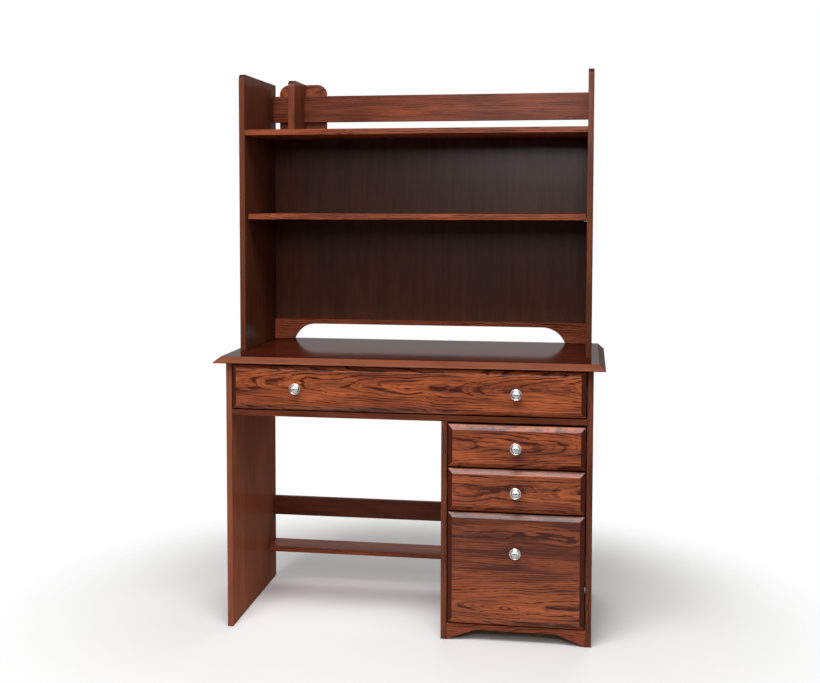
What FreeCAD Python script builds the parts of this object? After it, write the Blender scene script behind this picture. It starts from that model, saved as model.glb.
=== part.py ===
import FreeCAD, Part
import math
import os
import re
import Sketcher
from FreeCAD import Placement, Rotation, Vector

# Student desk with a hutch. Millimetres, +Z up, front towards -Y.
# The origin is on the floor, under the middle of the whole object.

# Driving sizes
SIZES = {
    # desktop
    "desk_width": 1067,
    "desk_depth": 508,
    "desk_height": 762,
    "top_thick": 18,
    "top_edge_land": 3,
    "top_bevel_run": 18,
    "side_overhang": 31.5,
    "front_overhang": 20,
    # case boards
    "board_thick": 16,
    "back_thick": 6,
    "rebate_width": 8,
    "pedestal_width": 372,
    "wide_opening": 130,
    "rail_depth": 80,
    "apron_height": 45,
    "apron_arch_rise": 30,
    "apron_slope_run": 78,
    "back_foot_gap": 12,
    "stretcher_height": 59,
    "stretcher_lift": 200,
    "low_shelf_depth": 96,
    "low_shelf_top": 120,
    # hutch boards
    "hutch_inset": 37.5,
    "hutch_depth": 362,
    "hutch_height": 787,
    "hutch_corner_radius": 18,
    "top_shelf_drop": 156,
    "housing_depth": 5,
    "housing_stop": 12,
    "shelf_rise": 392,
    "shelf_setback": 25,
    "shelf_end_gap": 1.5,
    "shelf_back_gap": 2,
    "arch_rail_height": 61,
    "arch_rise": 47,
    "arch_foot": 62,
    "arch_side_run": 68,
    "back_lap": 12,
    "gallery_gap": 39,
    "gallery_rail_height": 80,
    "gallery_inset": 13.5,
    # shelf pins and their holes
    "pin_radius": 2.5,
    "pin_depth": 10,
    "pin_reach": 9,
    "pin_inset": 50,
    "pin_pitch": 32,
    "pin_room": 0.1,
    # loose tenons and their mortises
    "tenon_thick": 6,
    "tenon_width": 40,
    "apron_tenon_width": 20,
    "apron_tenon_drop": 6,
    "tenon_in_face": 7,
    "tenon_in_end": 23,
    "tenon_end_room": 0.5,
    "tenon_room": 0.1,
    "tenon_inset": 60,
    # bookend on the gallery rail
    "bookend_thick": 19,
    "bookend_reach": 141,
    "bookend_height": 155,
    "bookend_from_side": 90,
    "plate_width": 148,
    "plate_thick": 12,
    "plate_corner_radius": 30,
    "running_gap": 0.5,
    "standing_gap": 0.3,
    # drawer fronts
    "front_thick": 18,
    "bevel_run": 13,
    "bevel_depth": 11,
    "front_side_gap": 2.5,
    "wide_gap_top": 3,
    "wide_gap_bottom": 4,
    "pedestal_gap_top": 6,
    "drawer_gap": 4,
    "file_gap": 3,
    "small_front_height": 115.5,
    # drawer boxes
    "box_side_thick": 12,
    "box_rear_gap": 36,
    "box_lift": 14,
    "box_drop": 17.5,
    "side_into_front": 5,
    "bottom_thick": 6,
    "bottom_groove": 5,
    "bottom_rise": 10,
    # telescopic slides
    "slide_space": 12.7,
    "slide_height": 45,
    "slide_rear_gap": 28,
    "slide_wall": 1.2,
    "slide_gap": 0.3,
    "slide_setback": 8,
    # knobs
    "knob_radius": 15.5,
    "knob_length": 28,
    "knob_neck_radius": 7,
    "knob_rim_height": 6,
    "knob_face_radius": 12,
    "knob_face_rise": 4,
    "file_knob_drop": 101,
    # machine screws
    "screw_radius": 2,
    "screw_room": 0.2,
    "screw_head_radius": 4,
    "screw_head_thick": 2.5,
    "screw_end_room": 1,
    "knob_thread": 11,
    "bookend_thread": 24,
}

# Places worked out from the driving sizes
PLACES = {
    "panel_depth": "desk_depth - front_overhang",
    "front": "(bevel_depth + knob_length - panel_depth) / 2",
    "rear": "front + panel_depth",
    "back_face": "rear - back_thick",
    "case_half": "desk_width / 2 - side_overhang",
    "inner_half": "case_half - board_thick",
    "top_under": "desk_height - top_thick",
    "rail_top": "top_under - wide_opening",
    "rail_under": "rail_top - board_thick",
    "partition_right": "inner_half - pedestal_width",
    "partition_left": "partition_right - board_thick",
    "pedestal_mid": "(partition_right + inner_half) / 2",
    "low_shelf_under": "low_shelf_top - board_thick",
    "stretcher_top": "stretcher_lift + stretcher_height",
    "hutch_half": "desk_width / 2 - hutch_inset",
    "hutch_inner": "hutch_half - board_thick",
    "hutch_front": "rear - hutch_depth",
    "hutch_top": "desk_height + hutch_height",
    "top_shelf_top": "hutch_top - top_shelf_drop",
    "top_shelf_under": "top_shelf_top - board_thick",
    "shelf_top": "desk_height + shelf_rise",
    "shelf_under": "shelf_top - board_thick",
    "arch_rail_top": "desk_height + arch_rail_height",
    "arch_outer": "hutch_inner - arch_foot",
    "arch_inner": "arch_outer - arch_side_run",
    "arch_radius": "(arch_side_run ^ 2 + arch_rise ^ 2) / (2 * arch_rise)",
    "gallery_under": "top_shelf_top + gallery_gap",
    "gallery_top": "gallery_under + gallery_rail_height",
    "gallery_rear": "rear - gallery_inset",
    "gallery_front": "gallery_rear - board_thick",
    "bookend_x": "bookend_from_side - hutch_inner",
    "bookend_foot": "top_shelf_top + standing_gap",
    "bookend_top": "top_shelf_top + bookend_height",
    "bookend_front": "gallery_front - bookend_reach",
    "plate_front": "gallery_rear + running_gap",
    "plate_rear": "plate_front + plate_thick",
    "plate_seat": "plate_rear - screw_head_thick",
    "field": "front - bevel_depth",
    "face_back": "field + front_thick",
    "box_rear": "rear - board_thick - box_rear_gap",
    "slide_rear": "box_rear - slide_rear_gap",
    "slide_length": "slide_rear - slide_setback - front",
    "slide_step": "slide_wall + slide_gap",
    "wide_bottom": "rail_top + wide_gap_bottom",
    "wide_top": "top_under - wide_gap_top",
    "upper_top": "rail_under - pedestal_gap_top",
    "upper_bottom": "upper_top - small_front_height",
    "lower_top": "upper_bottom - drawer_gap",
    "lower_bottom": "lower_top - small_front_height",
    "file_top": "lower_bottom - drawer_gap",
    "file_bottom": "apron_height + file_gap",
    "screw_hole_radius": "screw_radius + screw_room",
    "knob_rim_front": "knob_length - knob_face_rise",
    "knob_rim_back": "knob_rim_front - knob_rim_height",
}

# Drawers: case faces left and right, front's bottom and top, knobs' places and height
DRAWERS = {
    "wide": (
        "-inner_half", "inner_half", "wide_bottom", "wide_top",
        ("-pedestal_mid", "pedestal_mid"), "(wide_bottom + wide_top) / 2",
    ),
    "upper": (
        "partition_right", "inner_half", "upper_bottom", "upper_top",
        ("pedestal_mid",), "(upper_bottom + upper_top) / 2",
    ),
    "lower": (
        "partition_right", "inner_half", "lower_bottom", "lower_top",
        ("pedestal_mid",), "(lower_bottom + lower_top) / 2",
    ),
    "file": (
        "partition_right", "inner_half", "file_bottom", "file_top",
        ("pedestal_mid",), "file_top - file_knob_drop",
    ),
}

# Rows of pin holes in a hutch side, counted from the row that is in use
PIN_ROWS = (-1, 0, 1)

# Turns a cylinder, which stands along Z, to lie along an axis
ALONG = {
    "x": Rotation(Vector(0, 1, 0), 90),
    "y": Rotation(Vector(1, 0, 0), -90),
    "z": Rotation(),
}

doc = FreeCAD.newDocument("student_desk")
pieces = {}
cutters = {}
tenons = []


# Sheets and formulas
def bound(formula):
    """The formula with each named value written as its sheet's cell."""

    def with_sheet(match):
        word = match.group()
        if word in SIZES:
            return "Sizes." + word
        if word in PLACES:
            return "Places." + word
        return word

    return re.sub(r"[a-z][a-z_]*", with_sheet, formula)


def fill_sheet(name, rows, lead=""):
    sheet = doc.addObject("Spreadsheet::Sheet", name)
    for row, (alias, content) in enumerate(rows.items(), start=1):
        sheet.set(f"A{row}", alias)
        sheet.set(f"B{row}", lead + bound(str(content)))
        sheet.setAlias(f"B{row}", alias)
    doc.recompute()
    return sheet


def value(formula):
    return float(doc.Places.evalExpression(bound(formula)))


def put(piece, x, y, z):
    for axis, formula in zip("xyz", (x, y, z)):
        piece.setExpression("Placement.Base." + axis, bound(formula))
    return piece


# Plain shapes
def board(name, x, y, z):
    """A box from the low to the high formula along each axis."""
    piece = doc.addObject("Part::Box", name)
    for size, (low, high) in zip(("Length", "Width", "Height"), (x, y, z)):
        piece.setExpression(size, bound(f"({high}) - ({low})"))
    return put(piece, x[0], y[0], z[0])


def rod(name, radius, length, axis, x, y, z):
    """A cylinder that runs from the point along the axis."""
    piece = doc.addObject("Part::Cylinder", name)
    piece.setExpression("Radius", bound(radius))
    piece.setExpression("Height", bound(length))
    piece.Placement = Placement(Vector(), ALONG[axis])
    return put(piece, x, y, z)


def cut(name, base, tools):
    tool = tools[0]
    if len(tools) > 1:
        tool = doc.addObject("Part::MultiFuse", name + "_tools")
        tool.Shapes = tools
    piece = doc.addObject("Part::Cut", name)
    piece.Base = base
    piece.Tool = tool
    return piece


def fuse(name, base, tool):
    piece = doc.addObject("Part::Fuse", name)
    piece.Base = base
    piece.Tool = tool
    piece.Refine = True
    return piece


def group(name, members):
    piece = doc.addObject("Part::Compound", name)
    piece.Links = members
    return piece


def mirrored(name, source, x):
    """The source's mirror image across the plane at x."""
    piece = doc.addObject("Part::Mirroring", name)
    piece.Source = source
    piece.Normal = Vector(1, 0, 0)
    piece.setExpression("Base.x", bound(x))
    return piece


# Sketched shapes
def arc_between(start, end, radius):
    """The short arc from start to end: a positive radius turns left, a negative one right."""
    chord = end - start
    half = chord.Length / 2
    left = Vector(-chord.y, chord.x, 0) / chord.Length
    rise = math.sqrt(max(radius * radius - half * half, 0))
    centre = (start + end) / 2 + left * math.copysign(rise, radius)
    circle = Part.Circle(centre, Vector(0, 0, 1), abs(radius))
    ends = (start, end) if radius > 0 else (end, start)
    return Part.ArcOfCircle(circle, *(circle.parameter(point) for point in ends))


def outline(body, plane, points):
    """A closed sketch through points (u, v), each bound; (u, v, radius) starts an arc to the next."""
    sketch = body.newObject("Sketcher::SketchObject", body.Name + "_sketch")
    support = next(item for item in body.Origin.OriginFeatures if item.Role == plane)
    sketch.AttachmentSupport = [(support, "")]
    sketch.MapMode = "FlatFace"
    spots = [Vector(value(point[0]), value(point[1]), 0) for point in points]
    first_ends = []
    last_ends = []
    for index, point in enumerate(points):
        start = spots[index]
        end = spots[(index + 1) % len(spots)]
        radius = value(point[2]) if len(point) == 3 else 0
        edge = arc_between(start, end, radius) if radius else Part.LineSegment(start, end)
        sketch.addGeometry(edge)
        first_ends.append(2 if radius < 0 else 1)
        last_ends.append(1 if radius < 0 else 2)
    for index, point in enumerate(points):
        before = index - 1 if index else len(points) - 1
        joint = (before, last_ends[before], index, first_ends[index])
        sketch.addConstraint(Sketcher.Constraint("Coincident", *joint))
        for kind, formula, size in zip(("DistanceX", "DistanceY"), point, spots[index]):
            number = sketch.addConstraint(Sketcher.Constraint(kind, index, first_ends[index], size))
            sketch.setExpression(f"Constraints[{number}]", bound(formula))
        if len(point) == 3:
            radius = abs(value(point[2]))
            number = sketch.addConstraint(Sketcher.Constraint("Radius", index, radius))
            sketch.setExpression(f"Constraints[{number}]", bound(f"abs({point[2]})"))
    return sketch


def padded(name, plane, points, length, x="0", y="0", z="0"):
    """An outline padded along its plane's normal: +X for YZ_Plane, -Y for XZ_Plane."""
    body = doc.addObject("PartDesign::Body", name)
    pad = body.newObject("PartDesign::Pad", name + "_pad")
    pad.Profile = outline(body, plane, points)
    pad.setExpression("Length", bound(length))
    body.Tip = pad
    return put(body, x, y, z)


def turned(name, points, x, y, z):
    """An outline of (radius, y) points, turned about the Y axis."""
    body = doc.addObject("PartDesign::Body", name)
    turn = body.newObject("PartDesign::Revolution", name + "_turn")
    turn.Profile = outline(body, "XY_Plane", points)
    turn.ReferenceAxis = (turn.Profile[0], ["V_Axis"])
    turn.Angle = 360
    body.Tip = turn
    return put(body, x, y, z)


# Register of sub-parts, and what joins them
def add(name, piece, *tools):
    pieces[name] = piece
    cutters[name] = list(tools)
    return piece


def tenon(face, end, axis, way, flat, width, place):
    """A loose tenon across a butt joint, short in one board's face and long in the other board's end.

    It runs along the axis, way is the end board's side of the joint, and its width lies along flat.
    """
    name = f"tenon_{len(tenons)}"
    before, after = ("tenon_in_face", "tenon_in_end") if way > 0 else ("tenon_in_end", "tenon_in_face")
    spans = {}
    rooms = {}
    for letter, middle in zip("xyz", place):
        half = f"{width} / 2" if letter == flat else "tenon_thick / 2"
        low, high = (before, after) if letter == axis else (half, half)
        room = "tenon_end_room" if letter == axis else "tenon_room"
        spans[letter] = (f"{middle} - {low}", f"{middle} + {high}")
        rooms[letter] = (f"{middle} - {low} - {room}", f"{middle} + {high} + {room}")
    tenons.append(board(name, *spans.values()))
    mortise = board(name + "_mortise", *rooms.values())
    cutters[face].append(mortise)
    cutters[end].append(mortise)


def end_tenons(rail, left_board, right_board, left, right, flat, y, z, width="tenon_width"):
    """A tenon in each end of a rail that lies along X."""
    tenon(left_board, rail, "x", 1, flat, width, (left, y, z))
    tenon(right_board, rail, "x", -1, flat, width, (right, y, z))


def screw(name, thread, x, seat, z):
    """A pan head screw along -Y whose head sits on the seat."""
    shank = rod(name + "_shank", "screw_radius", thread, "y", x, f"{seat} - ({thread})", z)
    head = rod(name + "_head", "screw_head_radius", "screw_head_thick", "y", x, seat, z)
    return fuse(name, shank, head)


# Desk case
def desktop():
    """The top's flat edge land, and above it the bevel along the front and both ends."""
    edge = board(
        "desktop_land",
        ("-desk_width / 2", "desk_width / 2"),
        ("front - front_overhang", "rear"),
        ("top_under", "top_under + top_edge_land"),
    )
    bevel = doc.addObject("Part::Wedge", "desktop_bevel")
    # The wedge's own Y becomes up, and its own Z points forward
    bevel.Placement = Placement(Vector(), Rotation(Vector(1, 0, 0), 90))
    corners = {
        "Ymin": "top_under + top_edge_land",
        "Ymax": "desk_height",
        "Xmin": "-desk_width / 2",
        "Xmax": "desk_width / 2",
        "Zmin": "-rear",
        "Zmax": "front_overhang - front",
        "X2min": "top_bevel_run - desk_width / 2",
        "X2max": "desk_width / 2 - top_bevel_run",
        "Z2min": "-rear",
        "Z2max": "front_overhang - front - top_bevel_run",
    }
    for corner, formula in corners.items():
        bevel.setExpression(corner, bound(formula))
    add("desktop", fuse("desktop_blank", edge, bevel))


def pedestal_back():
    back = board(
        "pedestal_back_panel",
        ("partition_right - rebate_width", "inner_half + rebate_width"),
        ("back_face", "rear"),
        ("back_foot_gap", "rail_under"),
    )
    return add("pedestal_back_panel", back)


def pedestal_apron():
    """The plinth board, with straight slopes up from both feet to a flat."""
    points = (
        ("partition_right", "0"),
        ("partition_right + apron_slope_run", "apron_arch_rise"),
        ("inner_half - apron_slope_run", "apron_arch_rise"),
        ("inner_half", "0"),
        ("inner_half", "apron_height"),
        ("partition_right", "apron_height"),
    )
    apron = padded("pedestal_apron_blank", "XZ_Plane", points, "board_thick", y="front + board_thick")
    add("pedestal_apron", apron)


def desk_case():
    desktop()
    back = pedestal_back()
    whole_depth = ("front", "rear")
    rear_board = ("rear - board_thick", "rear")
    kneehole = ("-inner_half", "partition_left")
    between = ("-inner_half", "inner_half")
    low_shelf = ("rear - low_shelf_depth", "rear")
    sides = {
        "left_side_panel": (("-case_half", "-inner_half"), ("0", "top_under"), ()),
        "right_side_panel": (("inner_half", "case_half"), ("0", "top_under"), (back,)),
        "pedestal_partition": (("partition_left", "partition_right"), ("0", "rail_under"), (back,)),
    }
    for name, (x, z, tools) in sides.items():
        add(name, board(name + "_blank", x, whole_depth, z), *tools)
    rails = {
        "front_rail": (between, ("front", "front + rail_depth"), ("rail_under", "rail_top")),
        "upper_back_rail": (between, rear_board, ("rail_under", "top_under")),
        "kneehole_shelf": (kneehole, low_shelf, ("low_shelf_under", "low_shelf_top")),
        "kneehole_stretcher": (kneehole, rear_board, ("stretcher_lift", "stretcher_top")),
    }
    for name, (x, y, z) in rails.items():
        add(name, board(name + "_blank", x, y, z))
    pedestal_apron()


def case_joints():
    half = "board_thick / 2"
    panels = ("left_side_panel", "right_side_panel", "-inner_half", "inner_half")
    rail_mid = "front + rail_depth / 2"
    end_tenons("front_rail", *panels, "y", rail_mid, f"rail_under + {half}")
    end_tenons("upper_back_rail", *panels, "z", f"rear - {half}", "(rail_under + top_under) / 2")
    kneehole = ("left_side_panel", "pedestal_partition", "-inner_half", "partition_left")
    end_tenons("kneehole_shelf", *kneehole, "y", "rear - low_shelf_depth / 2", f"low_shelf_under + {half}")
    # The stretcher's tenons pass in front of the pedestal's back panel
    before_back = "(rear - board_thick + back_face) / 2"
    end_tenons("kneehole_stretcher", *kneehole, "z", before_back, "stretcher_lift + stretcher_height / 2")
    end_tenons(
        "pedestal_apron", "pedestal_partition", "right_side_panel", "partition_right", "inner_half",
        "z", f"front + {half}", "apron_height - apron_tenon_drop - apron_tenon_width / 2",
        width="apron_tenon_width",
    )
    partition_top = (f"partition_right - {half}", rail_mid, "rail_under")
    tenon("front_rail", "pedestal_partition", "z", -1, "y", "tenon_width", partition_top)
    panel_mid = f"case_half - {half}"
    for panel, x in (("left_side_panel", f"-({panel_mid})"), ("right_side_panel", panel_mid)):
        for y in ("front + tenon_inset", "rear - tenon_inset"):
            tenon("desktop", panel, "z", -1, "y", "tenon_width", (x, y, "top_under"))


# Hutch
def hutch_top_shelf():
    """The shelf's ends enter the sides, all but the front corners, which are notched."""
    end = "hutch_inner + housing_depth"
    height = ("top_shelf_under", "top_shelf_top")
    shelf = board("top_shelf_blank", (f"-({end})", end), ("hutch_front", "back_face"), height)
    stop = ("hutch_front", "hutch_front + housing_stop")
    notches = (
        board("top_shelf_left_notch", (f"-({end})", "-hutch_inner"), stop, height),
        board("top_shelf_right_notch", ("hutch_inner", end), stop, height),
    )
    return add("hutch_top_shelf", cut("top_shelf_notched", shelf, list(notches)))


def hutch_back_panel():
    edge = "hutch_inner + rebate_width"
    back = board(
        "hutch_back_panel",
        (f"-({edge})", edge),
        ("back_face", "rear"),
        ("arch_rail_top - back_lap", "top_shelf_top"),
    )
    return add("hutch_back_panel", back)


def pin_places():
    """Each column of pins: its name, its side's inner face, the way out of that side, and its depth."""
    rows = {"front": "hutch_front + shelf_setback + pin_inset", "rear": "back_face - pin_inset"}
    for side, x, way in (("left", "-hutch_inner", 1), ("right", "hutch_inner", -1)):
        for row, y in rows.items():
            yield side, row, x, way, y


def shelf_pins():
    """Four plain pins that the adjustable shelf lies on."""
    pins = []
    for side, row, x, way, y in pin_places():
        tail = f"{x} - pin_depth" if way > 0 else f"{x} - pin_reach"
        length = "pin_depth + pin_reach"
        pins.append(rod(f"pin_{side}_{row}", "pin_radius", length, "x", tail, y, "shelf_under - pin_radius"))
    add("shelf_pins", group("shelf_pins", pins))


def hutch_side(side, low, tools):
    """An upright with its top front corner rounded, bored for shelf pins."""
    points = (
        ("hutch_front", "desk_height"),
        ("rear", "desk_height"),
        ("rear", "hutch_top"),
        ("hutch_front + hutch_corner_radius", "hutch_top", "hutch_corner_radius"),
        ("hutch_front", "hutch_top - hutch_corner_radius"),
    )
    name = f"hutch_{side}_side"
    holes = []
    for column, row, x, way, y in pin_places():
        if column != side:
            continue
        start = f"{x} - pin_depth - pin_room" if way > 0 else x
        for step in PIN_ROWS:
            holes.append(rod(
                f"{name}_{row}_hole_{step + len(PIN_ROWS)}", "pin_radius + pin_room", "pin_depth + pin_room",
                "x", start, y, f"shelf_under - pin_radius + {step} * pin_pitch",
            ))
    add(name, padded(name + "_blank", "YZ_Plane", points, "board_thick", x=low), *tools, *holes)


def hutch_arch_rail():
    """The bottom rail: a long flat gap over the desktop, with a round shoulder at each end."""
    flat = "desk_height + arch_rise"
    points = (
        ("-hutch_inner", "desk_height"),
        ("-arch_outer", "desk_height", "-arch_radius"),
        ("-arch_inner", flat),
        ("arch_inner", flat, "-arch_radius"),
        ("arch_outer", "desk_height"),
        ("hutch_inner", "desk_height"),
        ("hutch_inner", "arch_rail_top"),
        ("-hutch_inner", "arch_rail_top"),
    )
    add("hutch_arch_rail", padded("arch_rail_blank", "XZ_Plane", points, "board_thick", y="back_face"))


def hutch():
    shelf = hutch_top_shelf()
    back = hutch_back_panel()
    for side, low in (("left", "-hutch_half"), ("right", "hutch_inner")):
        hutch_side(side, low, (shelf, back))
    length = "hutch_inner - shelf_end_gap"
    add("hutch_adjustable_shelf", board(
        "hutch_adjustable_shelf",
        (f"-({length})", length),
        ("hutch_front + shelf_setback", "back_face - shelf_back_gap"),
        ("shelf_under", "shelf_top"),
    ))
    shelf_pins()
    hutch_arch_rail()
    add("gallery_rail", board(
        "gallery_rail_blank",
        ("-hutch_inner", "hutch_inner"),
        ("gallery_front", "gallery_rear"),
        ("gallery_under", "gallery_top"),
    ))


def hutch_joints():
    half = "board_thick / 2"
    sides = ("hutch_left_side", "hutch_right_side", "-hutch_inner", "hutch_inner")
    end_tenons("gallery_rail", *sides, "z", f"gallery_front + {half}", "(gallery_under + gallery_top) / 2")
    end_tenons("hutch_arch_rail", *sides, "z", f"back_face - {half}", "desk_height + arch_rail_height / 2")
    side_mid = f"hutch_half - {half}"
    for side, x in (("hutch_left_side", f"-({side_mid})"), ("hutch_right_side", side_mid)):
        for y in ("hutch_front + tenon_inset", "rear - 2 * tenon_inset"):
            tenon("desktop", side, "z", 1, "y", "tenon_width", (x, y, "desk_height"))


# Bookend
def bookend():
    """An upright notched round the gallery rail, and the plate that holds it there from behind."""
    notch = ("gallery_front - running_gap", "gallery_under - running_gap", "gallery_top + running_gap")
    points = (
        ("bookend_front", "bookend_foot"),
        ("plate_front", "bookend_foot"),
        ("plate_front", notch[1]),
        (notch[0], notch[1]),
        (notch[0], notch[2]),
        ("plate_front", notch[2]),
        ("plate_front", "bookend_top"),
        ("bookend_front + hutch_corner_radius", "bookend_top", "hutch_corner_radius"),
        ("bookend_front", "bookend_top - hutch_corner_radius"),
    )
    upright = padded("upright_blank", "YZ_Plane", points, "bookend_thick", x="bookend_x - bookend_thick / 2")
    points = (
        ("-plate_width / 2", "bookend_foot"),
        ("plate_width / 2", "bookend_foot"),
        ("plate_width / 2", "bookend_top - plate_corner_radius", "plate_corner_radius"),
        ("plate_width / 2 - plate_corner_radius", "bookend_top"),
        ("plate_corner_radius - plate_width / 2", "bookend_top", "plate_corner_radius"),
        ("-plate_width / 2", "bookend_top - plate_corner_radius"),
    )
    plate = padded("plate_blank", "XZ_Plane", points, "plate_thick", x="bookend_x", y="plate_rear")
    screws = []
    bores = []
    recesses = []
    length = "plate_thick - screw_head_thick + bookend_thread"
    bore_length = f"{length} + screw_end_room"
    for place, z in (
        ("low", "(bookend_foot + gallery_under) / 2"),
        ("high", "(gallery_top + bookend_top) / 2"),
    ):
        name = f"bookend_screw_{place}"
        screws.append(screw(name, length, "bookend_x", "plate_seat", z))
        start = f"plate_seat - ({bore_length})"
        bores.append(rod(name + "_bore", "screw_hole_radius", bore_length, "y", "bookend_x", start, z))
        recess = "screw_head_radius + screw_room"
        recesses.append(rod(name + "_recess", recess, "screw_head_thick", "y", "bookend_x", "plate_seat", z))
    add("bookend_upright", upright, *bores)
    add("bookend_back_plate", plate, *bores, *recesses)
    add("bookend_screws", group("bookend_screws", screws))


# Drawers
def bevelled_front(name, x, z):
    """A drawer front with a bevel all round its raised field."""
    land = board(name + "_land", x, ("front", "face_back"), z)
    raised = doc.addObject("Part::Wedge", name + "_raised")
    corners = {
        "Ymin": "field",
        "Ymax": "front",
        "Xmin": f"{x[0]} + bevel_run",
        "Xmax": f"{x[1]} - bevel_run",
        "Zmin": f"{z[0]} + bevel_run",
        "Zmax": f"{z[1]} - bevel_run",
        "X2min": x[0],
        "X2max": x[1],
        "Z2min": z[0],
        "Z2max": z[1],
    }
    for corner, formula in corners.items():
        raised.setExpression(corner, bound(formula))
    return fuse(name + "_blank", land, raised)


def knob(name, x, z):
    """A turned knob: a neck, a wide rim and a raised round face, bored from behind for its screw."""
    depth = "-(knob_thread + screw_end_room)"
    points = (
        ("screw_hole_radius", "0"),
        ("knob_neck_radius", "0"),
        ("knob_neck_radius", "-knob_rim_back"),
        ("knob_radius", "-knob_rim_back"),
        ("knob_radius", "-knob_rim_front"),
        ("knob_face_radius", "-knob_rim_front"),
        ("knob_face_radius", "-knob_length"),
        ("0", "-knob_length"),
        ("0", depth),
        ("screw_hole_radius", depth),
    )
    return turned(name, points, x, "field", z)


def knobs(name, places, z):
    """The knobs of one drawer, their screws, and the holes for those in the front."""
    heads = []
    screws = []
    holes = []
    for index, x in enumerate(places):
        heads.append(knob(f"{name}_knob_{index}", x, z))
        screws.append(screw(f"{name}_knob_screw_{index}", "front_thick + knob_thread", x, "face_back", z))
        holes.append(rod(f"{name}_knob_hole_{index}", "screw_hole_radius", "front_thick", "y", x, "field", z))
    plural = "s" if len(places) > 1 else ""
    add(f"{name}_drawer_knob{plural}", group(f"{name}_knob_set", heads))
    add(f"{name}_drawer_knob_screw{plural}", group(f"{name}_knob_screw_set", screws))
    return holes


def drawer_box(name, left, right, low, high):
    """Two sides housed in the front, a back between them, and a bottom in their grooves."""
    outer = (f"{left} + slide_space", f"{right} - slide_space")
    inner = (f"{outer[0]} + box_side_thick", f"{outer[1]} - box_side_thick")
    length = ("face_back - side_into_front", "box_rear")
    sheet = board(
        f"{name}_drawer_bottom",
        (f"{inner[0]} - bottom_groove", f"{inner[1]} + bottom_groove"),
        ("face_back - bottom_groove", "box_rear"),
        (f"{low} + bottom_rise", f"{low} + bottom_rise + bottom_thick"),
    )
    left_side = board(f"{name}_left_blank", (outer[0], inner[0]), length, (low, high))
    right_side = board(f"{name}_right_blank", (inner[1], outer[1]), length, (low, high))
    back = board(
        f"{name}_drawer_back", inner, ("box_rear - box_side_thick", "box_rear"),
        (f"{low} + bottom_rise + bottom_thick", high),
    )
    add(f"{name}_drawer_left_side", left_side, sheet)
    add(f"{name}_drawer_right_side", right_side, sheet)
    add(f"{name}_drawer_back", back)
    add(f"{name}_drawer_bottom", sheet)
    return [left_side, right_side, sheet]


def channel(name, web, inside, mouth, half, x, z):
    """One slide member: a channel whose web and mouth are given from the case's face."""
    points = (
        (web, f"-({half})"),
        (mouth, f"-({half})"),
        (mouth, f"slide_wall - ({half})"),
        (inside, f"slide_wall - ({half})"),
        (inside, f"{half} - slide_wall"),
        (mouth, f"{half} - slide_wall"),
        (mouth, half),
        (web, half),
    )
    return padded(name, "XZ_Plane", points, "slide_length", x=x, y="slide_rear", z=z)


def slides(name, left, right, z):
    """Both telescopic slides of a drawer; each member nests in the one before it."""
    middle = f"({left} + {right}) / 2"
    members = {
        "case": ("0", "slide_wall", "slide_space - 2 * slide_wall", "slide_height / 2"),
        "middle": (
            "slide_step", "slide_step + slide_wall", "slide_space - slide_wall",
            "slide_height / 2 - slide_step",
        ),
        "drawer": (
            "slide_space", "slide_space - slide_wall", "2 * slide_step",
            "slide_height / 2 - 2 * slide_step",
        ),
    }
    pairs = {}
    for member, profile in members.items():
        near = channel(f"{name}_{member}_left", *profile, left, z)
        pairs[member] = [near, mirrored(f"{name}_{member}_right", near, middle)]
    add(f"{name}_middle_slides", group(f"{name}_middle_pair", pairs["middle"]))
    add(f"{name}_drawer_slides", group(f"{name}_drawer_pair", pairs["drawer"]))
    return pairs["case"]


def drawers():
    case_members = []
    for name, (left, right, bottom, top, places, knob_z) in DRAWERS.items():
        width = (f"{left} + front_side_gap", f"{right} - front_side_gap")
        low = f"{bottom} + box_lift"
        high = f"{top} - box_drop"
        face = bevelled_front(f"{name}_front", width, (bottom, top))
        housings = drawer_box(name, left, right, low, high)
        add(f"{name}_drawer_front", face, *housings, *knobs(name, places, knob_z))
        case_members += slides(name, left, right, f"({low} + {high}) / 2")
    add("slide_case_members", group("slide_case_members", case_members))


# Checks and export
def finished():
    """Each sub-part with its cuts made and its name as label, all tested."""
    nodes = []
    for name, piece in pieces.items():
        node = cut(name, piece, cutters[name]) if cutters[name] else piece
        node.Label = name
        nodes.append((name, node))
    doc.recompute()
    for item in doc.Objects:
        if "Invalid" in item.State or "Error" in item.State:
            raise RuntimeError(f"{item.Name} failed: {item.State}")
    for name, node in nodes:
        if node.Shape.isNull() or not node.Shape.isValid() or not node.Shape.Solids:
            raise RuntimeError(f"{name} has no valid solid")
    return nodes


fill_sheet("Sizes", SIZES)
fill_sheet("Places", PLACES, "=")
desk_case()
hutch()
case_joints()
hutch_joints()
add("loose_tenons", group("loose_tenons", tenons))
bookend()
drawers()
os.makedirs("parts", exist_ok=True)
for label, solid in finished():
    solid.Shape.exportStep(f"parts/{label}.step")
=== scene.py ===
import math
import random

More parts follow.
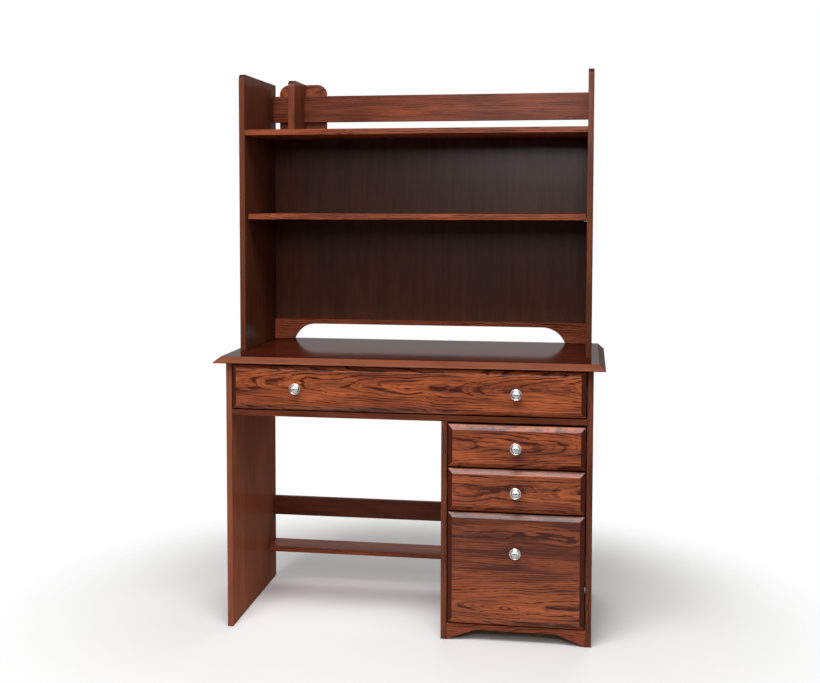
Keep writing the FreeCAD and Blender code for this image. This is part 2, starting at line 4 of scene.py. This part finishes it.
import bmesh
import bpy
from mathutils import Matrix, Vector


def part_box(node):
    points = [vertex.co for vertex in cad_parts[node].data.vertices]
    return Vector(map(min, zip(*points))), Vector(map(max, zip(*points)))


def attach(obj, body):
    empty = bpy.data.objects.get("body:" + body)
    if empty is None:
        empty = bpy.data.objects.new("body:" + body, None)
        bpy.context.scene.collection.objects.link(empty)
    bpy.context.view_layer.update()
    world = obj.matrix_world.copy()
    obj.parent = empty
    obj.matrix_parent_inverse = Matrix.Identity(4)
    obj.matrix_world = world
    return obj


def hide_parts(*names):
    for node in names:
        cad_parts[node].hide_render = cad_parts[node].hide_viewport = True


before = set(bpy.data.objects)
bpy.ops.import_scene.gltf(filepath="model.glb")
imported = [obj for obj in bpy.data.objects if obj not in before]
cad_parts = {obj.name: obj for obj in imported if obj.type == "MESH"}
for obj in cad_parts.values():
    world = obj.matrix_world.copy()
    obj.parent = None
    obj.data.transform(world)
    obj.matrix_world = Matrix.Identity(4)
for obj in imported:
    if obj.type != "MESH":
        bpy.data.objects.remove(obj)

# Only the frame stays in the scene
for name in ("Cube", "Camera", "Light"):
    if name in bpy.data.objects:
        bpy.data.objects.remove(bpy.data.objects[name])
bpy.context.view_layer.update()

# Board finishes: colours of the wood, the log under the board in metres, its figure, and the lacquer
OAK = {
    # The desktop's top is painted dark, partly its own stain and partly painted shade of a top that
    # catches little light; faces round its rim keep a lighter colour
    "oak_desktop": dict(
        light=(0.098, 0.016, 0.006), deep=(0.040, 0.008, 0.003), pore=(0.014, 0.004, 0.003),
        edge=(0.210, 0.058, 0.026), ring=0.0036, heart=(0.05, 0.070), figure=0.80,
        coat=0.26, coat_roughness=0.10),
    "oak_upright": dict(
        light=(0.200, 0.056, 0.026), deep=(0.090, 0.028, 0.015), pore=(0.030, 0.011, 0.008),
        ring=0.0030, heart=(0.12, 0.080), figure=0.75,
        coat=0.11, coat_roughness=0.20),
    "oak_rail": dict(
        light=(0.322, 0.078, 0.033), deep=(0.118, 0.031, 0.015), pore=(0.050, 0.009, 0.004),
        ring=0.0030, heart=(0.07, 0.070), figure=0.92, lines=0.28,
        coat=0.22, coat_roughness=0.28),
    "oak_back": dict(
        light=(0.112, 0.035, 0.018), deep=(0.074, 0.024, 0.014), pore=(0.022, 0.009, 0.006),
        ring=0.0028, heart=(0.22, 0.100), figure=0.60,
        coat=0.60, coat_roughness=0.26),
    "oak_front": dict(
        light=(0.540, 0.130, 0.039), deep=(0.112, 0.026, 0.012), pore=(0.046, 0.007, 0.004),
        ring=0.0040, heart=(0.00, 0.042), figure=1.00, lines=0.46,
        coat=0.65, coat_roughness=0.28),
    "oak_bookend": dict(
        light=(0.284, 0.070, 0.031), deep=(0.126, 0.034, 0.018), pore=(0.032, 0.011, 0.007),
        ring=0.0030, heart=(0.05, 0.060), figure=0.80, lines=0.28,
        coat=0.22, coat_roughness=0.20),
    "drawer_box": dict(
        light=(0.560, 0.360, 0.200), deep=(0.470, 0.280, 0.150), pore=(0.300, 0.170, 0.090),
        ring=0.0036, heart=(0.06, 0.080), figure=0.40,
        coat=0.20, coat_roughness=0.30),
    "drawer_bottom": dict(
        light=(0.600, 0.400, 0.230), deep=(0.500, 0.310, 0.170), pore=(0.320, 0.190, 0.100),
        ring=0.0050, heart=(0.02, 0.060), figure=0.40,
        coat=0.10, coat_roughness=0.35),
    "beech_tenon": dict(
        light=(0.580, 0.340, 0.190), deep=(0.500, 0.280, 0.150), pore=(0.360, 0.190, 0.100),
        ring=0.0030, heart=(0.06, 0.080), figure=0.30,
        coat=0.00, coat_roughness=0.40),
}

# Metal finishes: colour and how finely it is polished
METAL = {
    "knob_nickel": dict(colour=(0.86, 0.87, 0.84), roughness=0.16),
    "slide_steel": dict(colour=(0.045, 0.045, 0.047), roughness=0.42),
    "pin_steel": dict(colour=(0.62, 0.62, 0.61), roughness=0.28),
    "screw_steel": dict(colour=(0.58, 0.57, 0.54), roughness=0.32),
}

# Boards whose grain doesn't follow their longest side
GRAIN_ALONG = {"hutch_back_panel": "z", "bookend_upright": "z", "bookend_back_plate": "x"}

# Boards lighter or darker than the others of their finish: partly their own stain, and partly painted
# light and shade, lighter on the left side panel, which stands in more light, and darker on the hutch's
# left side, which stands in shade
STAIN_AND_PAINTED_LIGHT = {
    "left_side_panel": 1.7, "hutch_left_side": 0.86, "pedestal_partition": 1.2,
    "kneehole_stretcher": 0.52, "kneehole_shelf": 1.12, "front_rail": 0.60,
    "hutch_arch_rail": 1.95, "hutch_adjustable_shelf": 1.4,
    "file_drawer_front": 0.76, "upper_drawer_front": 0.92,
}

# Boards with less figure and fewer changes of tone, and the tone that they keep to
CALM = {"left_side_panel": 0.35, "hutch_left_side": 0.45}
CALM_TONE = 0.40

# Logs given for the figure of the fronts
LOGS = {
    "wide_drawer_front": 153, "upper_drawer_front": 271,
    "lower_drawer_front": 233, "file_drawer_front": 1536,
}

# Usual width of a board's staves in metres, and how far apart their logs lie in the noise
STAVE_WIDTH = 0.125
LOG_GAP = 9.0

# The log's heart: its range in a stave's width and in depth, and its range of slope along the board
HEART_SPAN = 0.6
HEART_DEEPER = 0.5
HEART_SLOPE = 0.12

# How far the heart and the rings waver in metres, by changes per metre along and across the grain
SWAY = dict(factors=(2.4, 5.0, 5.0), reach=0.040)
SWELL = dict(factors=(3.2, 8.0, 8.0), reach=0.022)
WIGGLE = dict(factors=(11.0, 26.0, 26.0), detail=3.0, reach=0.007)

# Noise in the figure: changes per metre along and across the grain, and the part of its range in use
RAGGED = dict(factors=(15.0, 340.0, 340.0), detail=3.0, roughness=0.65)
STREAK = dict(factors=(6.0, 60.0, 60.0), detail=3.0, low=0.36, high=0.68)
DASH = dict(factors=(50.0, 1400.0, 1400.0), detail=1.0, low=0.44, high=0.64)
STRAY = dict(factors=(7.0, 170.0, 170.0), low=0.50, high=0.66)
PATCH = dict(factors=(4.5, 34.0, 34.0), detail=4.0, roughness=0.6, low=0.34, high=0.66)
FIBRE = dict(factors=(8.0, 480.0, 480.0), low=0.32, high=0.68)

# Rings shifted by ragged noise, their dark bands as shares of a ring, and what streaks add to these
RING_SHIFT = 0.90
BAND_START = 0.08
BAND_WIDTH = 0.20
BAND_STREAKED = 0.42
BAND_SOLID = 0.40
BAND_DARK = 0.55
BAND_DARKER = 0.35

# Pores between the bands and in them, and the thin lines along the rings
PORES = 0.16
PORES_IN_BAND = 0.30
THIN_SPACING = 0.37
THIN_SHIFT = 0.45
THIN_PART = (0.05, 0.55)
STRAY_SHARE = 0.5

# What fibres, patches, staves and streaks give to the tone of the stain
TONE_FIBRE = 0.34
TONE_PATCH = 0.52
TONE_STAVE = 0.48
TONE_STREAK = 0.16
TONE_DROP = 0.12

# Solid edges and end grain: how far the surface turns where they begin, their stain and their lacquer
FACE_TURN = (0.85, 0.97)
EDGE_FIGURE = 0.7
END_TURN = (0.20, 0.60)
END_PORES = 0.70
END_LACQUER_LOST = 0.65

# The wood under the lacquer, with the depth of its pores in metres
WOOD_ROUGHNESS = 0.42
PORE_ROUGHNESS = 0.18
PORE_RELIEF = 0.25
PORE_DEPTH = 0.0004
LACQUER_IOR = 1.5

# Wear and scratches of the metal
WEAR = dict(factors=(90.0, 90.0, 90.0), detail=4.0, roughness=0.6, low=0.3, high=0.7)
WORN = 0.82
SCRATCH = dict(factors=(900.0, 60.0, 900.0))
SCRATCH_ROUGHNESS = 0.12

# Eased edges of the boards: sizes in metres and angles
EDGE_ROUND = 0.0012
EDGE_LEAST = 0.0125
EDGE_STEPS = 3
SHARP_ANGLE = math.radians(30)
FLAT_ANGLE = math.radians(0.5)
JOIN_GAP = 1e-5

# Knobs in metres: distance out and radius from the foot to the groove, then the dome
KNOB_OUTLINE = [
    (0.0, 0.0085), (0.0010, 0.0085), (0.0022, 0.0074), (0.0060, 0.0068), (0.0110, 0.0072),
    (0.0140, 0.0095), (0.0158, 0.0125), (0.0172, 0.0146), (0.0186, 0.0154), (0.0198, 0.0153),
    (0.0207, 0.0145), (0.0210, 0.0135), (0.0206, 0.0127), (0.0199, 0.0121),
]
KNOB_LENGTH = 0.028
KNOB_TURNS = 72
DOME_RADIUS = 0.0118
DOME_RISE = 0.0076
DOME_STEPS = 12

# Floor: sizes and distances in metres, its colours, and how much darker reflections show it
FLOOR_HALF = 6.0
FLOOR_DROP = 0.0005
FLOOR_FADES = (0.72, 1.30)
FLOOR_DARKENS = (1.30, 1.90)
FLOOR_PALE = (0.80, 0.795, 0.79)
FLOOR_DARK = (0.25, 0.25, 0.25)
FLOOR_MIRRORED = 0.5

# White of the studio as it is seen, and as it lights the object
STUDIO_SEEN = 1.0
STUDIO_LIGHT = 0.22

# Soft lights: place, aim and size in metres, and power in watts
SOFTBOXES = {
    "overhead": dict(place=(-0.1, -1.60, 3.0), target=(-0.1, -1.05, 0.0), size=(2.2, 1.3), power=82),
    "key": dict(place=(-0.6, -2.7, 2.9), target=(0.0, -0.2, 0.6), size=(1.6, 1.2), power=23),
    "fill": dict(place=(0.3, -3.6, 2.0), target=(0.1, 0.0, 0.9), size=(1.2, 0.8), power=28),
    "rear": dict(place=(0.3, 2.6, 2.6), target=(0.1, 0.4, 0.4), size=(2.4, 1.4), power=45),
}

# Wall behind the camera: its sizes in metres and its grey
WALL_HALF = 5.0
WALL_HEIGHT = 1.7
WALL_PLACE = -5.0
WALL_GREY = (0.18, 0.18, 0.18, 1.0)

# Camera: lens and sensor in millimetres, shift, place in metres and turn in degrees
CAMERA_SENSOR = 36.0
CAMERA_LENS = 54.46
CAMERA_SHIFT = (0.0425, -0.0782)
CAMERA_PLACE = (0.4815, -3.5203, 1.1940)
CAMERA_TURN = (86.423, 0.0, 9.711)


def placed(name, data):
    """A new object in the scene."""
    thing = bpy.data.objects.new(name, data)
    bpy.context.scene.collection.objects.link(thing)
    return thing


def feed(tree, socket, source):
    """Link a socket to another one, or set its value."""
    if isinstance(source, bpy.types.NodeSocket):
        tree.links.new(source, socket)
    else:
        socket.default_value = source


def add(tree, kind, inputs=None, **settings):
    """A new node with its settings and its inputs."""
    node = tree.nodes.new(kind)
    for key, setting in settings.items():
        setattr(node, key, setting)
    for key, source in (inputs or {}).items():
        feed(tree, node.inputs[key], source)
    return node


def maths(tree, operation, *values):
    """The result of a number operation."""
    return add(tree, "ShaderNodeMath", dict(enumerate(values)), operation=operation).outputs[0]


def scaled(tree, value, factor, offset):
    """A value times a factor, plus an offset."""
    return maths(tree, "MULTIPLY_ADD", value, factor, offset)


def noise(tree, place, factors, detail=2.0, roughness=0.5):
    """Cloudy noise from 0 to 1, stretched by the factors."""
    stretched = add(tree, "ShaderNodeVectorMath", {0: place, 1: factors}, operation="MULTIPLY")
    inputs = {"Vector": stretched.outputs[0], "Scale": 1.0, "Detail": detail, "Roughness": roughness}
    return add(tree, "ShaderNodeTexNoise", inputs).outputs["Fac"]


def remap(tree, value, low, high, new_low=0.0, new_high=1.0):
    """A value carried smoothly from one range to another."""
    inputs = {"Value": value, "From Min": low, "From Max": high, "To Min": new_low, "To Max": new_high}
    return add(tree, "ShaderNodeMapRange", inputs, interpolation_type="SMOOTHSTEP").outputs["Result"]


def layer(tree, place, low, high, **pattern):
    """Noise with a part of its range spread from 0 to 1."""
    return remap(tree, noise(tree, place, **pattern), low, high)


def waver(tree, place, reach, **pattern):
    """Noise about zero with a given reach."""
    return scaled(tree, noise(tree, place, **pattern), reach, -reach / 2)


def mixed(tree, share, first, second):
    """A colour between two others."""
    first = first if isinstance(first, bpy.types.NodeSocket) else (*first, 1.0)
    second = second if isinstance(second, bpy.types.NodeSocket) else (*second, 1.0)
    node = add(tree, "ShaderNodeMix", {0: share, 6: first, 7: second}, data_type="RGBA")
    return node.outputs[2]


def empty_tree(owner):
    """The cleared node tree of a material or of the world."""
    owner.use_nodes = True
    owner.node_tree.nodes.clear()
    return owner.node_tree


def new_material(name):
    """A material, its tree and its surface shader."""
    material = bpy.data.materials.new(name)
    tree = empty_tree(material)
    shader = add(tree, "ShaderNodeBsdfPrincipled")
    add(tree, "ShaderNodeOutputMaterial", {"Surface": shader.outputs[0]})
    return material, tree, shader


def board_axes(node):
    """The board's axes along the grain, across it and through its thickness."""
    low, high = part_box(node)
    sizes = dict(zip("xyz", high - low))
    depth = min(sizes, key=sizes.get)
    faces = sorted((axis for axis in "xyz" if axis != depth), key=sizes.get)
    along = GRAIN_ALONG.get(node, faces[-1])
    across = next(axis for axis in faces if axis != along)
    return along, across, depth


class Board:
    """Places on a board in its material, and the staves from which it is glued up."""

    def __init__(self, tree, node):
        low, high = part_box(node)
        self.middle = dict(zip("xyz", (low + high) / 2))
        self.along, self.across, self.depth = board_axes(node)
        # How much lighter or darker this board is painted: its own stain, and on some boards painted light
        # and shade
        self.stain_and_painted_light = STAIN_AND_PAINTED_LIGHT.get(node, 1.0)
        self.calm = CALM.get(node, 1.0)

        # Places and the surface's normal along each axis
        source = add(tree, "ShaderNodeTexCoord").outputs
        self.part = dict(zip("xyz", add(tree, "ShaderNodeSeparateXYZ", {0: source["Object"]}).outputs))
        self.normal = dict(zip("xyz", add(tree, "ShaderNodeSeparateXYZ", {0: source["Normal"]}).outputs))

        # A wide board has several staves, each from another log
        width = dict(zip("xyz", high - low))[self.across]
        self.stave = width / max(1, round(width / STAVE_WIDTH))
        self.edge = self.middle[self.across] - width / 2
        steps = scaled(tree, self.part[self.across], 1 / self.stave, -self.edge / self.stave)
        self.count = maths(tree, "FLOOR", steps)
        log = LOGS.get(node, random.Random(node).randrange(100, 1000))
        turn = maths(tree, "ADD", self.count, float(log))
        luck = add(tree, "ShaderNodeTexWhiteNoise", {"W": turn}, noise_dimensions="1D").outputs["Color"]
        self.lucks = add(tree, "ShaderNodeSeparateXYZ", {0: luck}).outputs

        # Noise is read along the grain, across it and through the thickness, and apart for each log
        axes = (self.along, self.across, self.depth)
        grain = add(tree, "ShaderNodeCombineXYZ", dict(enumerate(self.part[axis] for axis in axes)))
        inputs = {0: luck, 1: (LOG_GAP, LOG_GAP, LOG_GAP), 2: grain.outputs[0]}
        self.place = add(tree, "ShaderNodeVectorMath", inputs, operation="MULTIPLY_ADD").outputs[0]


def ring_radius(tree, board, finish):
    """Distance from the heart of the log, which wavers and leans along the board."""
    aside, below = finish["heart"]
    start = board.edge + (1 - HEART_SPAN) / 2 * board.stave + aside
    heart = scaled(tree, board.lucks[0], HEART_SPAN * board.stave, start)
    heart = scaled(tree, board.count, board.stave, heart)
    under = scaled(tree, board.lucks[1], HEART_DEEPER * below, board.middle[board.depth] + below)
    slope = scaled(tree, board.lucks[2], HEART_SLOPE, -HEART_SLOPE / 2)
    length = maths(tree, "SUBTRACT", board.part[board.along], board.middle[board.along])
    sideways = maths(tree, "SUBTRACT", board.part[board.across], heart)
    sideways = maths(tree, "ADD", sideways, waver(tree, board.place, **SWAY))
    inwards = maths(tree, "SUBTRACT", board.part[board.depth], under)
    inwards = maths(tree, "ADD", inwards, waver(tree, board.place, **SWELL))
    inwards = scaled(tree, length, slope, inwards)
    squares = [maths(tree, "POWER", side, 2.0) for side in (sideways, inwards)]
    radius = maths(tree, "SQRT", maths(tree, "ADD", *squares))
    return maths(tree, "ADD", radius, waver(tree, board.place, **WIGGLE))


def dark_figure(tree, board, finish, streak):
    """How dark the rings and the pores are, from 0 to 1."""
    radius = ring_radius(tree, board, finish)
    ragged = noise(tree, board.place, **RAGGED)

    # Each ring starts sharply with a dark band of pores, wide in some places, and fades to dense wood
    rings = maths(tree, "DIVIDE", radius, finish["ring"])
    age = maths(tree, "FRACT", scaled(tree, ragged, RING_SHIFT, rings))
    spread = scaled(tree, streak, BAND_STREAKED, BAND_WIDTH)
    fading = remap(tree, age, maths(tree, "MULTIPLY", spread, BAND_SOLID), spread, 1.0, 0.0)
    band = maths(tree, "MULTIPLY", remap(tree, age, 0.0, BAND_START), fading)

    # Pores are long dark dashes, thickest in those bands
    dash = layer(tree, board.place, **DASH)
    spots = maths(tree, "MULTIPLY", dash, scaled(tree, band, PORES_IN_BAND, PORES))

    # Thin lines run between the bands along the rings, and some stray from them
    if "lines" in finish:
        rings = maths(tree, "DIVIDE", radius, THIN_SPACING * finish["ring"])
        age = maths(tree, "FRACT", scaled(tree, ragged, THIN_SHIFT, rings))
        stray = maths(tree, "MULTIPLY", layer(tree, board.place, **STRAY), STRAY_SHARE)
        thin = maths(tree, "MAXIMUM", remap(tree, age, *THIN_PART, 1.0, 0.0), stray)
        spots = scaled(tree, thin, finish["lines"], spots)

    strength = scaled(tree, streak, BAND_DARKER, BAND_DARK)
    dark = maths(tree, "MINIMUM", scaled(tree, band, strength, spots), 1.0)
    return maths(tree, "MULTIPLY", dark, finish["figure"] * board.calm)


def ground_colour(tree, board, finish, streak):
    """Stain that lies in patches and in fine fibres, and differs from stave to stave."""
    patch = maths(tree, "MULTIPLY", layer(tree, board.place, **PATCH), TONE_PATCH)
    tone = scaled(tree, layer(tree, board.place, **FIBRE), TONE_FIBRE, patch)
    tone = scaled(tree, board.lucks[1], TONE_STAVE, tone)
    tone = maths(tree, "SUBTRACT", tone, scaled(tree, streak, TONE_STREAK, TONE_DROP))
    tone = scaled(tree, tone, board.calm, CALM_TONE * (1 - board.calm))
    # Both colours scaled by the board's own stain and, on some boards, by painted light and shade
    light = [level * board.stain_and_painted_light for level in finish["light"]]
    deep = [level * board.stain_and_painted_light for level in finish["deep"]]
    return mixed(tree, tone, deep, light)


def oak(node, finish):
    """Stained wood under lacquer: growth rings cut by the board, their pores, and slow changes of tone."""
    material, tree, shader = new_material(finish["name"] + "." + node)
    board = Board(tree, node)
    streak = layer(tree, board.place, **STREAK)
    dark = dark_figure(tree, board, finish, streak)
    colour = mixed(tree, dark, ground_colour(tree, board, finish, streak), finish["pore"])

    # Faces round the board's rim take a lighter edge colour than its broad faces, which on the desktop are
    # painted dark: partly its stain, partly painted shade
    if "edge" in finish:
        facing = maths(tree, "ABSOLUTE", board.normal[board.depth])
        rim = mixed(tree, maths(tree, "MULTIPLY", dark, EDGE_FIGURE), finish["edge"], finish["pore"])
        colour = mixed(tree, remap(tree, facing, *FACE_TURN, 1.0, 0.0), colour, rim)

    # End grain drinks more stain and leaves less lacquer standing
    facing = maths(tree, "ABSOLUTE", board.normal[board.along])
    end_grain = remap(tree, facing, *END_TURN)
    soaked = mixed(tree, END_PORES, finish.get("edge", finish["deep"]), finish["pore"])
    feed(tree, shader.inputs["Base Color"], mixed(tree, end_grain, colour, soaked))
    if finish["coat"]:
        standing = scaled(tree, end_grain, -END_LACQUER_LOST * finish["coat"], finish["coat"])
        feed(tree, shader.inputs["Coat Weight"], standing)

    # Open pores scatter more light and dent the wood under the lacquer
    feed(tree, shader.inputs["Roughness"], scaled(tree, dark, PORE_ROUGHNESS, WOOD_ROUGHNESS))
    height = scaled(tree, dark, -1.0, 1.0)
    relief = {"Height": height, "Strength": PORE_RELIEF, "Distance": PORE_DEPTH}
    feed(tree, shader.inputs["Normal"], add(tree, "ShaderNodeBump", relief).outputs[0])
    shader.inputs["Specular IOR Level"].default_value = 0.0
    shader.inputs["Coat Roughness"].default_value = finish["coat_roughness"]
    shader.inputs["Coat IOR"].default_value = LACQUER_IOR
    return material


def metal(node, finish):
    """Plated metal with faint cloudy wear and scratches."""
    material, tree, shader = new_material(finish["name"] + "." + node)
    place = add(tree, "ShaderNodeTexCoord").outputs["Object"]
    worn = [level * WORN for level in finish["colour"]]
    colour = mixed(tree, layer(tree, place, **WEAR), worn, finish["colour"])
    feed(tree, shader.inputs["Base Color"], colour)
    scratch = noise(tree, place, **SCRATCH)
    polish = finish["roughness"] - SCRATCH_ROUGHNESS / 2
    feed(tree, shader.inputs["Roughness"], scaled(tree, scratch, SCRATCH_ROUGHNESS, polish))
    shader.inputs["Metallic"].default_value = 1.0
    return material


def material_for(node, slot):
    """The finish of a slot, made for one node."""
    if slot in METAL:
        return metal(node, dict(METAL[slot], name=slot))
    return oak(node, dict(OAK[slot], name=slot))


def edge_group():
    """Joins a board's faces, smooths its curves and marks the outer edges to be eased."""
    group = bpy.data.node_groups.new("eased_edges", "GeometryNodeTree")
    for way in ("INPUT", "OUTPUT"):
        group.interface.new_socket("Geometry", in_out=way, socket_type="NodeSocketGeometry")
    start = add(group, "NodeGroupInput").outputs[0]
    joined = {"Geometry": start, "Distance": JOIN_GAP}
    whole = add(group, "GeometryNodeMergeByDistance", joined).outputs[0]

    # Curves look smooth, and edges sharper than the angle stay sharp
    angle = add(group, "GeometryNodeInputMeshEdgeAngle").outputs
    sharp = maths(group, "GREATER_THAN", angle["Unsigned Angle"], SHARP_ANGLE)
    smooth = add(group, "GeometryNodeSetMeshNormal", mode="SHARPNESS")
    feed(group, smooth.inputs["Mesh"], whole)
    feed(group, smooth.inputs["Remove Custom"], True)
    feed(group, smooth.inputs["Edge Sharpness"], sharp)

    # Only long edges that point outwards are marked
    ends = add(group, "GeometryNodeInputMeshEdgeVertices").outputs
    between = {0: ends["Position 1"], 1: ends["Position 2"]}
    span = add(group, "ShaderNodeVectorMath", between, operation="DISTANCE").outputs["Value"]
    long = maths(group, "GREATER_THAN", span, EDGE_LEAST)
    outer = maths(group, "GREATER_THAN", angle["Signed Angle"], SHARP_ANGLE)
    marked = add(group, "GeometryNodeStoreNamedAttribute", domain="EDGE", data_type="FLOAT")
    feed(group, marked.inputs["Geometry"], smooth.outputs[0])
    feed(group, marked.inputs["Name"], "bevel_weight_edge")
    feed(group, marked.inputs["Value"], maths(group, "MULTIPLY", long, outer))
    add(group, "NodeGroupOutput", {0: marked.outputs[0]})
    return group


def ease(piece, group):
    """Round the outer edges of a board a little, as sanding does."""
    piece.modifiers.new("join", "NODES").node_group = group
    flat = piece.modifiers.new("flatten", "DECIMATE")
    flat.decimate_type = "DISSOLVE"
    flat.angle_limit = FLAT_ANGLE
    piece.modifiers.new("mark", "NODES").node_group = group
    round_off = piece.modifiers.new("round", "BEVEL")
    round_off.limit_method = "WEIGHT"
    round_off.width = EDGE_ROUND
    round_off.segments = EDGE_STEPS
    round_off.use_clamp_overlap = False
    round_off.harden_normals = True
    piece.modifiers.new("close", "WELD").merge_threshold = JOIN_GAP


def knob_profile():
    """Distance out and radius along a knob: foot, flared neck, rounded rim, groove and dome."""
    points = list(KNOB_OUTLINE)
    ball = (DOME_RADIUS ** 2 + DOME_RISE ** 2) / (2 * DOME_RISE)
    slope = math.asin(DOME_RADIUS / ball)
    for step in range(DOME_STEPS):
        angle = slope * (1 - step / DOME_STEPS)
        points.append((KNOB_LENGTH - ball + ball * math.cos(angle), ball * math.sin(angle)))
    return points


def turn_knob(mesh, x, field, z):
    """Add one turned knob that stands on the drawer's field."""
    rings = []
    for out, radius in knob_profile():
        ring = []
        for step in range(KNOB_TURNS):
            angle = 2 * math.pi * step / KNOB_TURNS
            spot = (x + radius * math.cos(angle), field - out, z + radius * math.sin(angle))
            ring.append(mesh.verts.new(spot))
        rings.append(ring)
    for inner, outer in zip(rings, rings[1:]):
        for step in range(KNOB_TURNS):
            after = (step + 1) % KNOB_TURNS
            mesh.faces.new((inner[step], inner[after], outer[after], outer[step]))
    tip = mesh.verts.new((x, field - KNOB_LENGTH, z))
    for step in range(KNOB_TURNS):
        mesh.faces.new((rings[-1][step], rings[-1][(step + 1) % KNOB_TURNS], tip))
    mesh.faces.new(rings[0])


def knob_piece(name, centres, field):
    """A piece with a turned knob at each centre."""
    mesh = bmesh.new()
    for x, z in centres:
        turn_knob(mesh, x, field, z)
    bmesh.ops.recalc_face_normals(mesh, faces=mesh.faces)
    for face in mesh.faces:
        face.smooth = True
    data = bpy.data.meshes.new(name)
    mesh.to_mesh(data)
    mesh.free()
    return placed(name, data)


def sheet(name, corners):
    """A flat piece with four corners."""
    mesh = bpy.data.meshes.new(name)
    mesh.from_pydata(corners, [], [(0, 1, 2, 3)])
    return placed(name, mesh)


def softbox(name, place, target, size, power):
    """A large light aimed at a point."""
    light = bpy.data.lights.new(name, "AREA")
    light.shape = "RECTANGLE"
    light.size, light.size_y = size
    light.energy = power
    lamp = placed(name, light)
    lamp.location = place
    lamp.rotation_euler = (Vector(target) - Vector(place)).to_track_quat("-Z", "Y").to_euler()


# Boards keep their solids, with their own figure, and eased edges where they show
edges = edge_group()
for node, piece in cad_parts.items():
    slot = piece.material_slots[0].material.name
    piece.material_slots[0].material = material_for(node, slot)
    if slot in OAK and slot != "beech_tenon":
        ease(piece, edges)

# Turned knobs stand for the plainer solids
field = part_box("wide_drawer_front")[0].y
for drawer, knobs in (("wide", "knobs"), ("upper", "knob"), ("lower", "knob"), ("file", "knob")):
    node = f"{drawer}_drawer_{knobs}"
    low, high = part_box(node)
    height = (low.z + high.z) / 2
    rim = (high.z - low.z) / 2
    places = {round(low.x + rim, 5), round(high.x - rim, 5)}
    piece = knob_piece(node + "_turned", [(x, height) for x in sorted(places)], field)
    piece.data.materials.append(material_for(node + "_turned", "knob_nickel"))
    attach(piece, f"{drawer}_drawer")
    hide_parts(node)

# A pale floor that fades into the white round it, greyer in reflections and dark far away
floor = sheet("floor", [(-FLOOR_HALF, -FLOOR_HALF, 0.0), (FLOOR_HALF, -FLOOR_HALF, 0.0),
                        (FLOOR_HALF, FLOOR_HALF, 0.0), (-FLOOR_HALF, FLOOR_HALF, 0.0)])
floor.location.z = -FLOOR_DROP
floor_material = bpy.data.materials.new("floor_pale")
tree = empty_tree(floor_material)
rays = add(tree, "ShaderNodeLightPath").outputs
spot = add(tree, "ShaderNodeTexCoord").outputs["Object"]
reach = add(tree, "ShaderNodeVectorMath", {0: spot}, operation="LENGTH").outputs["Value"]
mirrored = maths(tree, "MULTIPLY", rays["Is Glossy Ray"], FLOOR_MIRRORED)
darker = maths(tree, "MAXIMUM", remap(tree, reach, *FLOOR_DARKENS), mirrored)
paint = mixed(tree, darker, FLOOR_PALE, FLOOR_DARK)
matte = add(tree, "ShaderNodeBsdfDiffuse", {"Color": paint}).outputs[0]
clear = add(tree, "ShaderNodeBsdfTransparent").outputs[0]
fade = maths(tree, "MULTIPLY", remap(tree, reach, *FLOOR_FADES), rays["Is Camera Ray"])
surface = add(tree, "ShaderNodeMixShader", {0: fade, 1: matte, 2: clear}).outputs[0]
add(tree, "ShaderNodeOutputMaterial", {"Surface": surface})
floor.data.materials.append(floor_material)

# White studio behind the object, at a lower level as light
world = bpy.data.worlds.new("studio")
bpy.context.scene.world = world
tree = empty_tree(world)
rays = add(tree, "ShaderNodeLightPath").outputs
mirrored = maths(tree, "MAXIMUM", rays["Is Glossy Ray"], rays["Is Transmission Ray"])
seen = maths(tree, "MAXIMUM", rays["Is Camera Ray"], mirrored)
level = scaled(tree, seen, STUDIO_SEEN - STUDIO_LIGHT, STUDIO_LIGHT)
white = add(tree, "ShaderNodeBackground", {"Color": (1.0, 1.0, 1.0, 1.0), "Strength": level}).outputs[0]
add(tree, "ShaderNodeOutputWorld", {"Surface": white})

# Soft light from above, the front and the rear
for name, values in SOFTBOXES.items():
    softbox(name, **values)

# A grey wall behind the camera, seen only in reflections
wall = sheet("studio_wall", [(-WALL_HALF, WALL_PLACE, 0.0), (WALL_HALF, WALL_PLACE, 0.0),
                             (WALL_HALF, WALL_PLACE, WALL_HEIGHT), (-WALL_HALF, WALL_PLACE, WALL_HEIGHT)])
wall.visible_camera = False
wall_material, tree, shader = new_material("studio_grey")
shader.inputs["Base Color"].default_value = WALL_GREY
shader.inputs["Roughness"].default_value = 1.0
wall.data.materials.append(wall_material)

# Camera at the height and turn of the view
lens = bpy.data.cameras.new("camera")
lens.sensor_fit = "HORIZONTAL"
lens.sensor_width = CAMERA_SENSOR
lens.lens = CAMERA_LENS
lens.shift_x, lens.shift_y = CAMERA_SHIFT
camera = placed("camera", lens)
camera.location = CAMERA_PLACE
camera.rotation_euler = [math.radians(turn) for turn in CAMERA_TURN]
bpy.context.scene.camera = camera
bpy.context.scene.view_settings.view_transform = "Standard"
